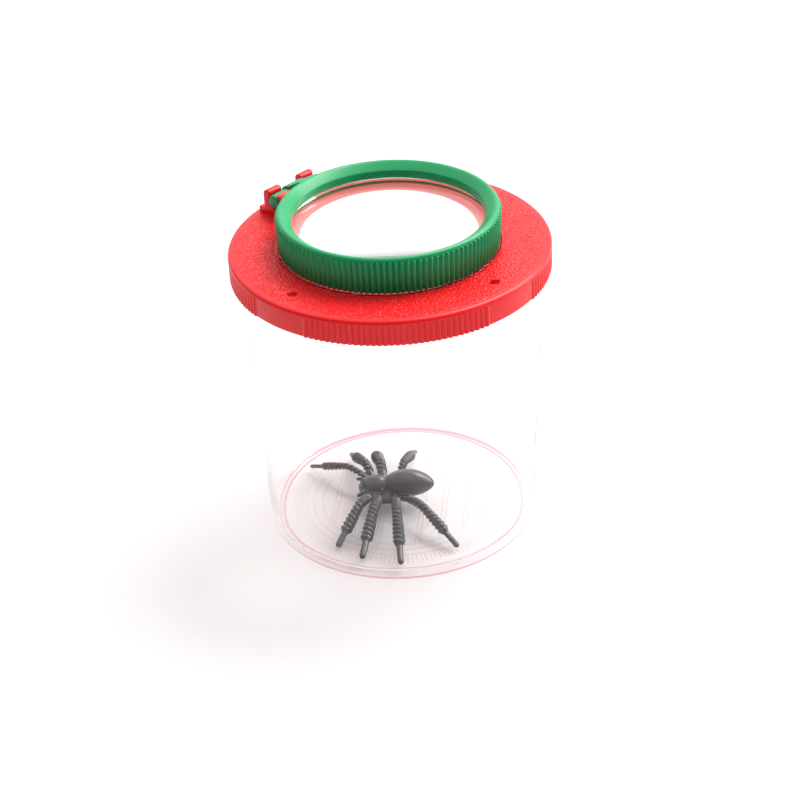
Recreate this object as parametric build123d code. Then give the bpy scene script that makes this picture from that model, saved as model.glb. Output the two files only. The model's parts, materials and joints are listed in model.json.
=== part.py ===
from build123d import *
import math
import os

# A bug viewer: a clear tapered jar, a push-on lid with a fixed lens in its window, and a
# second lens in a ribbed ring that flips up on a snap hinge. A toy spider lies in the jar.
# Millimetres, +Z up. The origin is the middle of the underside, and the hinge is on +Y.

# Jar
jar_height = 66.4
jar_base_diameter = 61.0
jar_wall = 1.3
jar_floor = 1.6
jar_floor_fillet = 1.5
jar_base_round = 0.7
jar_rim_round = 0.4
jar_mouth_band = 6.5        # straight band at the mouth that the lid slides on

# Lid
lid_diameter = 70.0         # over the ribs
lid_plate = 1.8
lid_height = 5.8            # whole side of the lid, from skirt edge to top
lid_skirt_wall = 1.5
lid_fit = 0.12              # radial clearance between skirt and mouth band
lid_edge_round = 0.85
lid_rim_band = 0.9          # plain rim above the ribs
lid_rib_depth = 0.35
lid_ribs_per_quarter = 33
lid_panel_angle = 22.5      # plain panel between two ribbed quarters, in degrees
lid_border = 10.65          # flat border outside the magnifier ring
air_hole_diameter = 2.2
air_hole_directions = (180, 270, 360)

# Magnifier ring
ring_height = 8.1
ring_lift = 0.2             # clearance between the closed ring and the lid
ring_taper = 0.35           # radius lost from crown to foot
ring_crown = 0.95           # plain crown above the ribs
ring_crown_round = 0.8
ring_crown_flat = 0.35
ring_rib_depth = 0.35
ring_rib_proud = 0.12       # the ribs stand out this much from the crown
ring_ribs = 120
ring_wall = 1.35            # from the bottom of a groove to the lens seat, at the foot
ring_lip_width = 1.4
ring_lip_thickness = 1.7
ring_slope_drop = 1.5       # the rim slopes in from the crown to the lip

# Shares of the pitch that a rib's foot and crest are wide
rib_foot_share = 0.76
rib_crest_share = 0.36

# Lenses and their seats
lens_play = 0.05
snap_bead = 0.2
sight_clearance = 0.2       # between a lens's curved face and the lip round it
flip_lens_edge = 4.2
flip_lens_top_rise = 1.5
flip_lens_bottom_rise = 0.4
lid_seat_depth = 0.9        # from the lid's top to the ledge under its lens
lid_ledge_width = 5.2
lid_lens_reach = 0.15       # the lid lens's flange shows this much outside the ring's foot
lid_lens_flange = 0.95
lid_lens_top_rise = 0.2
lid_lens_bottom_rise = 0.8

# Snap hinge
rod_diameter = 3.4
rod_play = 0.05
rod_offset = 3.6            # from the outside of the ring to the rod's axis
rod_height = 3.6            # the rod's axis above the lid
rod_overhang = 0.35         # the rod shows this much past each hook
rod_end_round = 0.3
knuckle_wall = 0.6
arm_width = 5.4
arm_drop = 0.3              # from the ring's crown down to the top of the arm
hook_gap = 0.3
hook_width = 3.95
hook_lip = 0.6              # wall in front of the rod
hook_wall = 1.7             # behind the rod
hook_crest = 0.2            # height of the back wall over the rod's bore
hook_crest_width = 1.15
hook_crest_round = 0.5
hook_foot_step = 1.7        # the foot stands out this much behind the hook
hook_foot_height = 1.35
hook_foot_round = 0.35
hook_mouth_front = 114.0    # the mouth's edges at the bore, as angles round the rod from +Y
hook_mouth_back = 20.0

# Toy spider
foot_clearance = 1.1        # between the widest foot and the edge of the flat floor
hip_radius = 0.9
leg_radius = 1.0
shin_radius = 0.95
toe_root_radius = 0.75
toe_radius = 0.6
knee_share = 0.4            # places along a leg, as shares of the way from hip to foot
ankle_share = 0.72
toe_share = 0.77
hip_height = 3.0            # above the floor
knee_height = 4.5
ankle_height = 2.2
toe_height = 1.9
foot_height = 0.3
hip_spread = 2.0            # from the body's middle line to a hip
body_height = 4.7
abdomen_length = 11.6
abdomen_width = 6.4
abdomen_widest = 0.2        # share of the half length, from the middle towards the head
head_length = 7.6
head_width = 5.6
egg_lean = 0.3              # how far an end of the body leans from square
head_drop = 0.8             # the head's middle line lies this much lower than the abdomen's
body_overlap = 1.8          # the head runs this far into the abdomen
spider_heading = 125.0      # direction that the head points in
spider_middle = (-3.0, 2.8)
# Each leg: place of its hip along the body, its foot as a direction from the jar's axis and
# a share of the widest reach, and its thickness. The first four are on the spider's left.
legs = [
    (2.6, 185.3, 0.905, 1.0),
    (0.6, 201.8, 0.962, 1.05),
    (-2.8, 221.4, 1.0, 1.0),
    (-4.6, 252.6, 0.909, 0.9),
    (4.0, 101.3, 0.983, 0.68),
    (3.2, 77.1, 0.826, 0.9),
    (0.7, 62.7, 0.726, 1.1),
    (-2.7, 32.8, 0.698, 0.85),
]

# Levels and radii that follow from the sizes above
lid_radius = lid_diameter / 2
lid_groove_radius = lid_radius - lid_rib_depth
skirt_inside = lid_groove_radius - lid_skirt_wall
mouth_radius = skirt_inside - lid_fit
base_radius = jar_base_diameter / 2
lid_top = jar_height + lid_plate
skirt_edge = lid_top - lid_height
rim_level = lid_top - lid_rim_band

ring_radius = lid_radius - lid_border
ring_crown_radius = ring_radius - ring_rib_proud
ring_foot_radius = ring_radius - ring_taper
ring_foot = lid_top + ring_lift
ring_top = ring_foot + ring_height
ring_rib_top = ring_top - ring_crown
seat_radius = ring_foot_radius - ring_rib_depth - ring_wall
core_radius = seat_radius + ring_wall / 2
lip_radius = seat_radius - ring_lip_width
lip_level = ring_top - ring_slope_drop
shoulder = lip_level - ring_lip_thickness

lid_lens_radius = ring_foot_radius + lid_lens_reach
lid_seat_radius = lid_lens_radius + lens_play
window_radius = lid_seat_radius - lid_ledge_width
ledge_level = lid_top - lid_seat_depth

rod_radius = rod_diameter / 2
bore_radius = rod_radius + rod_play
knuckle_radius = rod_radius + knuckle_wall
rod_y = ring_radius + rod_offset
rod_z = lid_top + rod_height
hook_inside = arm_width / 2 + hook_gap
hook_outside = hook_inside + hook_width

jar_taper = (mouth_radius - base_radius) / (jar_height - jar_mouth_band)
floor_radius = base_radius + jar_taper * jar_floor - jar_wall - jar_floor_fillet
foot_reach = floor_radius - foot_clearance


def rounded_face(points, rounds):
    # A closed outline in which the corners named by their number are rounded
    outline = make_face(Polyline(*points, close=True))
    for number, radius in rounds.items():
        corner = outline.vertices().sort_by_distance(points[number])[0]
        outline = fillet(corner, radius)
    return outline


def turned(section):
    # A section drawn as radius and height, turned about the jar's axis
    return revolve(Plane.XZ * section, Axis.Z)


def polar(radius, degrees):
    angle = math.radians(degrees)
    return (radius * math.cos(angle), radius * math.sin(angle))


def jar_cup():
    band_start = jar_height - jar_mouth_band
    floor_edge = base_radius + jar_taper * jar_floor - jar_wall
    points = [
        (0, 0),
        (base_radius, 0),
        (mouth_radius, band_start),
        (mouth_radius, jar_height),
        (mouth_radius - jar_wall, jar_height),
        (mouth_radius - jar_wall, band_start),
        (floor_edge, jar_floor),
        (0, jar_floor),
    ]
    return turned(rounded_face(points, {1: jar_base_round, 3: jar_rim_round, 6: jar_floor_fillet}))


def rib_points(radius, depth, start, pitch, count):
    # Blunt ribs standing on a circle, as points along its outline
    foot = rib_foot_share * pitch / 2
    crest = rib_crest_share * pitch / 2
    points = []
    for rib in range(count):
        middle = start + (rib + 0.5) * pitch
        points.append(polar(radius - depth, middle - foot))
        points.append(polar(radius, middle - crest))
        points.append(polar(radius, middle + crest))
        points.append(polar(radius - depth, middle + foot))
    return points


def lid_outline():
    # Four ribbed quarters with a plain panel between each two
    ribbed_angle = 90 - lid_panel_angle
    pitch = ribbed_angle / lid_ribs_per_quarter
    quarters = []
    for quarter in range(4):
        start = quarter * 90 + lid_panel_angle / 2
        quarters.append(rib_points(lid_radius, lid_rib_depth, start, pitch, lid_ribs_per_quarter))
    edges = []
    for quarter, points in enumerate(quarters):
        following = quarters[(quarter + 1) % 4][0]
        panel_middle = polar(lid_groove_radius, (quarter + 1) * 90)
        edges.extend(Polyline(*points).edges())
        edges.extend(ThreePointArc(points[-1], panel_middle, following).edges())
    return Face(Wire(edges))


def lid_hook(side):
    # One hook and its foot: a lip curls round the front of the rod, a taller wall stands behind
    # it, and the rod snaps down through the mouth between them
    lip_outside = bore_radius + hook_lip
    back = bore_radius + hook_wall
    crest = bore_radius + hook_crest
    crest_front = back - hook_crest_width
    foot_back = back + hook_foot_step
    foot_top = hook_foot_height - rod_height
    buried = -rod_height - lid_plate / 2
    points = [
        (-lip_outside, buried),
        (-lip_outside, 0),
        (crest_front, crest),
        (back, crest),
        (back, foot_top),
        (foot_back, foot_top),
        (foot_back, buried),
    ]
    stand = rounded_face(points, {3: hook_crest_round, 5: hook_foot_round})
    beyond = 2 * back
    mouth = [
        (0, 0),
        polar(bore_radius, hook_mouth_back),
        (crest_front, crest),
        (crest_front, beyond),
        polar(beyond, hook_mouth_front),
    ]
    profile = stand + Circle(lip_outside) - Circle(bore_radius) - make_face(Polyline(*mouth, close=True))
    start = Plane((side * hook_inside, rod_y, rod_z), x_dir=(0, 1, 0), z_dir=(1, 0, 0))
    return extrude(start * profile, side * hook_width)


def lid():
    skirt_face = lid_outline() - Circle(skirt_inside)
    skirt = extrude(Pos(0, 0, skirt_edge) * skirt_face, rim_level - skirt_edge)
    points = [
        (skirt_inside, rim_level),
        (lid_radius, rim_level),
        (lid_radius, lid_top),
        (lid_seat_radius, lid_top),
        (lid_seat_radius, ledge_level),
        (window_radius, ledge_level),
        (window_radius, jar_height),
        (skirt_inside, jar_height),
    ]
    shape = skirt + turned(rounded_face(points, {2: lid_edge_round}))
    shape = shape + lid_hook(1) + lid_hook(-1)
    air_hole = Cylinder(air_hole_diameter / 2, 2 * lid_plate)
    for degrees in air_hole_directions:
        x, y = polar(lid_radius - lid_border / 2, degrees)
        shape = shape - Pos(x, y, lid_top - lid_plate / 2) * air_hole
    return shape


def lens(rim, top_rise, bottom_rise):
    # A lens with two spherical faces, and between them the rim, listed downwards
    top_pole = (0, rim[0][1] + top_rise)
    bottom_pole = (0, rim[-1][1] - bottom_rise)
    upper = TangentArc(top_pole, rim[0], tangent=(1, 0))
    lower = TangentArc(bottom_pole, rim[-1], tangent=(1, 0))
    sides = Polyline(*rim).edges()
    return turned(make_face([*upper.edges(), *sides, *lower.edges(), Line(bottom_pole, top_pole)]))


def lid_lens():
    # Pushed in from above: its flange lies on the ledge, and a bead round its plug grips under
    # the lid's plate
    plug = window_radius - lens_play
    flange_top = ledge_level + lid_lens_flange
    bead_top = jar_height - lens_play
    rim = [
        (plug, flange_top),
        (lid_lens_radius, flange_top),
        (lid_lens_radius, ledge_level),
        (plug, ledge_level),
        (plug, bead_top),
        (plug + snap_bead, bead_top - snap_bead),
        (plug, bead_top - 2 * snap_bead),
    ]
    return lens(rim, lid_lens_top_rise, lid_lens_bottom_rise)


def flip_lens():
    sight = lip_radius - sight_clearance
    edge = seat_radius - lens_play
    bottom = shoulder - flip_lens_edge
    rim = [(sight, shoulder), (edge, shoulder), (edge, bottom), (sight, bottom)]
    return lens(rim, flip_lens_top_rise, flip_lens_bottom_rise)


def flip_ring():
    pitch = 360 / ring_ribs
    faces = []
    for radius, level in ((ring_foot_radius, ring_foot), (ring_radius, ring_rib_top)):
        outline = Polyline(*rib_points(radius, ring_rib_depth, 0, pitch, ring_ribs), close=True)
        faces.append(Pos(0, 0, level) * make_face(outline))
    ribbed = loft(faces, ruled=True)
    middle = (ring_foot + ring_rib_top) / 2
    ribbed = ribbed - Pos(0, 0, middle) * Cylinder(core_radius, ring_rib_top - ring_foot)

    under_lens = shoulder - flip_lens_edge
    crown_inside = ring_crown_radius - ring_crown_round - ring_crown_flat
    points = [
        (core_radius, ring_foot),
        (core_radius, ring_rib_top),
        (ring_crown_radius, ring_rib_top),
        (ring_crown_radius, ring_top),
        (crown_inside, ring_top),
        (lip_radius, lip_level),
        (lip_radius, shoulder),
        (seat_radius, shoulder),
        (seat_radius, under_lens - lens_play),
        (seat_radius - snap_bead, under_lens - snap_bead),
        (seat_radius, under_lens - 2 * snap_bead),
        (seat_radius, ring_foot),
    ]
    core = turned(rounded_face(points, {3: ring_crown_round, 4: ring_crown_round / 2}))

    arm_top = ring_top - arm_drop
    arm_points = [
        (core_radius, rod_z - knuckle_radius),
        (rod_y, rod_z - knuckle_radius),
        (rod_y, rod_z + knuckle_radius),
        (ring_radius, arm_top),
        (core_radius, arm_top),
    ]
    arm_plane = Plane((-arm_width / 2, 0, 0), x_dir=(0, 1, 0), z_dir=(1, 0, 0))
    arm = extrude(arm_plane * make_face(Polyline(*arm_points, close=True)), arm_width)
    across = Pos(0, rod_y, rod_z) * Rot(0, 90, 0)
    knuckle = across * Cylinder(knuckle_radius, arm_width)
    rod = Cylinder(rod_radius, 2 * (hook_outside + rod_overhang))
    rod = across * fillet(rod.edges().filter_by(GeomType.CIRCLE), rod_end_round)
    return core + ribbed + (arm + knuckle + rod)


def spider_leg(hip, foot, thickness):
    # A bent leg that swells to the ankle and ends in a thin toe
    stations = [
        (0, hip_height, hip_radius),
        (knee_share, knee_height, leg_radius),
        (ankle_share, ankle_height, shin_radius),
        (toe_share, toe_height, toe_root_radius),
        (1, foot_height, toe_radius),
    ]
    spots = []
    for share, height, _ in stations:
        spot = hip + (foot - hip) * share
        spots.append(Vector(spot.X, spot.Y, jar_floor + height))
    rings = []
    for number, (_, _, radius) in enumerate(stations):
        before = spots[max(number - 1, 0)]
        after = spots[min(number + 1, len(spots) - 1)]
        rings.append(Plane(spots[number], z_dir=after - before) * Circle(thickness * radius))
    return loft(rings, ruled=True)


def egg(length, width, widest):
    # A round body along X, widest at this share of its half length
    half = length / 2
    back = (-half, 0)
    front = (half, 0)
    side = Spline(back, (widest * half, width / 2), front, tangents=((egg_lean, 1), (egg_lean, -1)))
    return revolve(make_face([*side.edges(), *Line(front, back).edges()]), Axis.X)


def toy_spider():
    middle = Location((*spider_middle, jar_floor + body_height), (0, 0, spider_heading))
    abdomen = Pos(-abdomen_length / 2, 0, 0) * egg(abdomen_length, abdomen_width, abdomen_widest)
    head = Pos(head_length / 2 - body_overlap, 0, -head_drop) * egg(head_length, head_width, 0)
    along = Vector(*polar(1, spider_heading))
    aside = Vector(-along.Y, along.X)
    limbs = []
    for number, (place, degrees, share, thickness) in enumerate(legs):
        side = 1 if number < len(legs) / 2 else -1
        hip = Vector(*spider_middle) + along * place + aside * (side * hip_spread)
        foot = Vector(*polar(foot_reach * share, degrees))
        limbs.append(spider_leg(hip, foot, thickness))
    body = middle * (abdomen + head) + limbs
    slab = Box(2 * base_radius, 2 * base_radius, 2 * jar_floor_fillet)
    return body - Pos(0, 0, jar_floor - jar_floor_fillet) * slab


os.makedirs("parts", exist_ok=True)
for make in (jar_cup, lid, lid_lens, flip_ring, flip_lens, toy_spider):
    export_step(make(), f"parts/{make.__name__}.step")
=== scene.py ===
import json
import math

import bmesh
import bpy
from mathutils import Matrix, Vector


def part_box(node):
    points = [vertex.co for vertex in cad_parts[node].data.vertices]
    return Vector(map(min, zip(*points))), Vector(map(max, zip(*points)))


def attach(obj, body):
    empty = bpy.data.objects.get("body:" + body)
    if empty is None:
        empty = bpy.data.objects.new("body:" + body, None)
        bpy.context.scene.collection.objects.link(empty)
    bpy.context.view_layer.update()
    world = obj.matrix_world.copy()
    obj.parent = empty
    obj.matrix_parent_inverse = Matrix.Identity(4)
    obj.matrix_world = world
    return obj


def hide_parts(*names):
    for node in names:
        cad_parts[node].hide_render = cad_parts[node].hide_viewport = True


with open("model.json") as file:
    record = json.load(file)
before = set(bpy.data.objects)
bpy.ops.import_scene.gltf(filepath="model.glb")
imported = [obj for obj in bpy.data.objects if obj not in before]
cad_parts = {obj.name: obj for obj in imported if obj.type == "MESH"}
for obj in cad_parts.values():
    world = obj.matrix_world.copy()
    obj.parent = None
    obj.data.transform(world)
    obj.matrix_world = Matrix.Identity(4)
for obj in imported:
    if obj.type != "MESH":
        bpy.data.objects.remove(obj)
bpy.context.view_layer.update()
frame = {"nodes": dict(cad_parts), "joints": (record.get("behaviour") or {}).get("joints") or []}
scene = bpy.context.scene
mm = 0.001
fullTurn = 2 * math.pi
levelTolerance = 0.05 * mm      # how near a level a surface lies to count as on it
print("frame loaded:", len(frame["nodes"]), "nodes")

jarLow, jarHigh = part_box("jar_cup")
lidLow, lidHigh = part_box("lid")
ringLow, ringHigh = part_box("flip_ring")
hingeJoint = next(j for j in frame["joints"] if j["name"] == "magnifier_flip")

# levels and radii that every piece shares, in millimetres
levels = {
    "mouth": jarHigh.z / mm,        # jar's mouth, under the lid's plate
    "skirtEdge": lidLow.z / mm,     # lower edge of the lid
    "lidTop": jarHigh.z / mm + 1.8,     # the lid's plate lies between mouth and top
    "ledge": jarHigh.z / mm + 0.9,  # where the flange of the lid's lens lies
    "ringFoot": ringLow.z / mm,
    "ringTop": ringHigh.z / mm,
    "jarFloor": 1.6,
}
radii = {
    "lid": lidHigh.x / mm,
    "mouth": jarHigh.x / mm,
    "window": 19.0,                 # round window in the lid
    "ring": 24.35,                  # magnifier ring over its ribs
    "ringFoot": 24.0,
    "lensSeat": 22.3,               # where the flip lens sits in its ring
    "lidSeat": 24.2,                # where the lid's lens sits
}
rod = {"y": hingeJoint["pos_m"][1] / mm, "z": hingeJoint["pos_m"][2] / mm, "radius": 1.7}


# small mesh helpers

def polar(radius, degrees):
    angle = math.radians(degrees)
    return radius * math.cos(angle), radius * math.sin(angle)


def smoothStep(low, high, value):
    share = min(max((value - low) / (high - low), 0), 1)
    return share * share * (3 - 2 * share)


def drawOutline(bm, points, rounds, roundSteps=5):
    # closed outline of radius and height, corners rounded by their number
    corners = [bm.verts.new((r * mm, 0, z * mm)) for r, z in points]
    bm.faces.new(corners)
    for number, radius in rounds.items():
        bmesh.ops.bevel(bm, geom=[corners[number]], offset=radius * mm, segments=roundSteps,
                        profile=0.5, affect="VERTICES", material=-1)


def turnOutline(bm, steps):
    # spin a sixteenth of the turn, then double it four times, leaving out an edge on the axis
    bmesh.ops.delete(bm, geom=bm.faces[:], context="FACES_ONLY")
    onAxis = [e for e in bm.edges if all(abs(v.co.x) < 0.001 * mm for v in e.verts)]
    bmesh.ops.delete(bm, geom=onAxis, context="EDGES")
    angle = fullTurn / 16
    bmesh.ops.spin(bm, geom=bm.verts[:] + bm.edges[:], cent=(0, 0, 0), axis=(0, 0, 1),
                   dvec=(0, 0, 0), angle=angle, steps=steps // 16)
    while angle < 0.99 * fullTurn:
        copy = bmesh.ops.duplicate(bm, geom=bm.verts[:] + bm.edges[:] + bm.faces[:])["geom"]
        bmesh.ops.rotate(bm, verts=vertsOf(copy), cent=(0, 0, 0),
                         matrix=Matrix.Rotation(angle, 3, "Z"))
        angle *= 2
    closeMesh(bm)


def vertsOf(geometry):
    return [g for g in geometry if isinstance(g, bmesh.types.BMVert)]


def closeMesh(bm):
    bmesh.ops.remove_doubles(bm, verts=bm.verts[:], dist=0.002 * mm)
    bmesh.ops.dissolve_degenerate(bm, dist=0.0005 * mm, edges=bm.edges[:])
    bmesh.ops.recalc_face_normals(bm, faces=bm.faces[:])


def thickenOutline(bm, width, edgeRound):
    # push a flat outline along the hinge's axis, then round its sharp edges
    pushed = bmesh.ops.extrude_face_region(bm, geom=bm.faces[:])
    bmesh.ops.translate(bm, verts=vertsOf(pushed["geom"]), vec=(width * mm, 0, 0))
    bmesh.ops.recalc_face_normals(bm, faces=bm.faces[:])
    sharp = [e for e in bm.edges if e.calc_face_angle(0) > math.radians(40)]
    bmesh.ops.bevel(bm, geom=sharp, offset=edgeRound * mm, segments=3, profile=0.5,
                    affect="EDGES", clamp_overlap=True, material=-1)
    bmesh.ops.recalc_face_normals(bm, faces=bm.faces[:])


def meshObject(name, bm):
    mesh = bpy.data.meshes.new(name)
    bm.to_mesh(mesh)
    bm.free()
    made = bpy.data.objects.new(name, mesh)
    scene.collection.objects.link(made)
    return made


def settle(piece, *modifiers):
    # apply the modifiers named by kind and settings, and keep the plain mesh
    for kind, settings in modifiers:
        modifier = piece.modifiers.new(kind, kind)
        for name, value in settings.items():
            setattr(modifier, name, value)
    bpy.context.view_layer.update()
    result = piece.evaluated_get(bpy.context.evaluated_depsgraph_get())
    mesh = bpy.data.meshes.new_from_object(result)
    piece.modifiers.clear()
    old = piece.data
    piece.data = mesh
    bpy.data.meshes.remove(old)


def combine(piece, tool, operation):
    settle(piece, ("BOOLEAN", {"object": tool, "operation": operation, "solver": "EXACT"}))
    bpy.data.objects.remove(tool)


def finishPiece(piece, body, material, node=None, sharpAngle=38):
    mesh = piece.data
    mesh.name = piece.name
    mesh.materials.clear()
    mesh.materials.append(material)
    mesh.polygons.foreach_set("use_smooth", [True] * len(mesh.polygons))
    mesh.polygons.foreach_set("material_index", [0] * len(mesh.polygons))
    mesh.set_sharp_from_angle(angle=math.radians(sharpAngle))
    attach(piece, body)
    if node:
        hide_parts(node)
    print("piece", piece.name, len(mesh.polygons), "faces")


def ribHeight(share):
    # round rib with a round valley on each side, over one pitch
    return (0.5 - 0.5 * math.cos(fullTurn * share)) ** 0.8


# node helpers

def addNode(tree, kind, inputs=None, **settings):
    made = tree.nodes.new(kind)
    for name, value in settings.items():
        setattr(made, name, value)
    for name, value in (inputs or {}).items():
        made.inputs[name].default_value = value
    return made


def newGroup(name, inputs, outputs):
    group = bpy.data.node_groups.new(name, "ShaderNodeTree")
    for label, kind, value in inputs:
        socket = group.interface.new_socket(name=label, in_out="INPUT", socket_type=kind)
        socket.default_value = value
    for label, kind in outputs:
        group.interface.new_socket(name=label, in_out="OUTPUT", socket_type=kind)
    return group, group.nodes.new("NodeGroupInput"), group.nodes.new("NodeGroupOutput")


def placeGroup(tree, group, values):
    made = tree.nodes.new("ShaderNodeGroup")
    made.node_tree = group
    for name, value in values.items():
        made.inputs[name].default_value = value
    return made


def newMaterial(name, settings):
    material = bpy.data.materials.new(name)
    material.use_nodes = True
    tree = material.node_tree
    shader = tree.nodes["Principled BSDF"]
    for label, value in settings.items():
        shader.inputs[label].default_value = value
    return material, tree, shader


def addRadius(group, place):
    # the place in its three parts, and its distance from the upright axis
    parts = addNode(group, "ShaderNodeSeparateXYZ")
    flat = addNode(group, "ShaderNodeCombineXYZ")
    radius = addNode(group, "ShaderNodeVectorMath", operation="LENGTH")
    group.links.new(place.outputs["Object"], parts.inputs[0])
    group.links.new(parts.outputs["X"], flat.inputs["X"])
    group.links.new(parts.outputs["Y"], flat.inputs["Y"])
    group.links.new(flat.outputs[0], radius.inputs[0])
    return parts, radius


def addCompare(group, tolerance):
    made = addNode(group, "ShaderNodeMath", operation="COMPARE")
    made.inputs[2].default_value = tolerance
    return made


# moulded skin: faint flow marks in the colour, uneven gloss and a fine orange peel
def buildMouldedSkin():
    group, given, out = newGroup(
        "mouldedSkin",
        [("Colour", "NodeSocketColor", (0.5, 0.5, 0.5, 1)),
         ("Flow Colour", "NodeSocketColor", (0.4, 0.4, 0.4, 1)),
         ("Gloss", "NodeSocketFloat", 0.3),
         ("Gloss Spread", "NodeSocketFloat", 0.1),
         ("Flow Scale", "NodeSocketFloat", 60.0),
         ("Peel Scale", "NodeSocketFloat", 2500.0)],
        [("Colour", "NodeSocketColor"), ("Roughness", "NodeSocketFloat"), ("Height", "NodeSocketFloat")])
    link = group.links.new
    place = addNode(group, "ShaderNodeTexCoord")
    flow = addNode(group, "ShaderNodeTexNoise", {"Detail": 4.0, "Roughness": 0.6, "Distortion": 1.2})
    peel = addNode(group, "ShaderNodeTexNoise", {"Detail": 2.0, "Roughness": 0.5})
    tint = addNode(group, "ShaderNodeMix", data_type="RGBA")
    spread = addNode(group, "ShaderNodeMath", operation="MULTIPLY_ADD")
    for noise, scale in ((flow, "Flow Scale"), (peel, "Peel Scale")):
        link(place.outputs["Object"], noise.inputs["Vector"])
        link(given.outputs[scale], noise.inputs["Scale"])
    link(flow.outputs["Fac"], tint.inputs["Factor"])
    link(given.outputs["Colour"], tint.inputs["A"])
    link(given.outputs["Flow Colour"], tint.inputs["B"])
    link(flow.outputs["Fac"], spread.inputs[0])
    link(given.outputs["Gloss Spread"], spread.inputs[1])
    link(given.outputs["Gloss"], spread.inputs[2])
    link(tint.outputs["Result"], out.inputs["Colour"])
    link(spread.outputs["Value"], out.inputs["Roughness"])
    link(peel.outputs["Fac"], out.inputs["Height"])
    return group


# leather grain between two radii, at one level only
def buildLeatherGrain():
    group, given, out = newGroup(
        "leatherGrain",
        [("Cell Scale", "NodeSocketFloat", 1000.0),
         ("Wander", "NodeSocketFloat", 0.0005),
         ("Inner Radius", "NodeSocketFloat", 0.02),
         ("Outer Radius", "NodeSocketFloat", 0.03),
         ("Level", "NodeSocketFloat", 0.0)],
        [("Grain", "NodeSocketFloat"), ("Mask", "NodeSocketFloat")])
    link = group.links.new
    place = addNode(group, "ShaderNodeTexCoord")
    parts, radius = addRadius(group, place)
    drift = addNode(group, "ShaderNodeTexNoise", {"Scale": 900.0, "Detail": 2.0})
    centre = addNode(group, "ShaderNodeVectorMath", operation="SUBTRACT")
    centre.inputs[1].default_value = (0.5, 0.5, 0.5)
    wander = addNode(group, "ShaderNodeVectorMath", operation="SCALE")
    moved = addNode(group, "ShaderNodeVectorMath", operation="ADD")
    cells = addNode(group, "ShaderNodeTexVoronoi", {"Randomness": 1.0}, feature="DISTANCE_TO_EDGE")
    pebble = addNode(group, "ShaderNodeMapRange", {"From Min": 0.02, "From Max": 0.32},
                     interpolation_type="SMOOTHSTEP")
    inside = addNode(group, "ShaderNodeMath", operation="SUBTRACT")
    outside = addNode(group, "ShaderNodeMath", operation="SUBTRACT")
    onLevel = addCompare(group, levelTolerance)
    edgeFade = {"From Min": 0.0, "From Max": 0.4 * mm}
    fadeIn = addNode(group, "ShaderNodeMapRange", edgeFade)
    fadeOut = addNode(group, "ShaderNodeMapRange", edgeFade)
    ringMask = addNode(group, "ShaderNodeMath", operation="MULTIPLY")
    mask = addNode(group, "ShaderNodeMath", operation="MULTIPLY")
    grain = addNode(group, "ShaderNodeMath", operation="MULTIPLY")
    link(place.outputs["Object"], drift.inputs["Vector"])
    link(drift.outputs["Color"], centre.inputs[0])
    link(centre.outputs[0], wander.inputs[0])
    link(given.outputs["Wander"], wander.inputs["Scale"])
    link(place.outputs["Object"], moved.inputs[0])
    link(wander.outputs[0], moved.inputs[1])
    link(moved.outputs[0], cells.inputs["Vector"])
    link(given.outputs["Cell Scale"], cells.inputs["Scale"])
    link(cells.outputs["Distance"], pebble.inputs["Value"])
    link(radius.outputs["Value"], inside.inputs[0])
    link(given.outputs["Inner Radius"], inside.inputs[1])
    link(given.outputs["Outer Radius"], outside.inputs[0])
    link(radius.outputs["Value"], outside.inputs[1])
    link(inside.outputs[0], fadeIn.inputs["Value"])
    link(outside.outputs[0], fadeOut.inputs["Value"])
    link(parts.outputs["Z"], onLevel.inputs[0])
    link(given.outputs["Level"], onLevel.inputs[1])
    link(fadeIn.outputs[0], ringMask.inputs[0])
    link(fadeOut.outputs[0], ringMask.inputs[1])
    link(ringMask.outputs[0], mask.inputs[0])
    link(onLevel.outputs[0], mask.inputs[1])
    link(pebble.outputs[0], grain.inputs[0])
    link(mask.outputs[0], grain.inputs[1])
    link(grain.outputs[0], out.inputs["Grain"])
    link(mask.outputs[0], out.inputs["Mask"])
    return group


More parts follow.
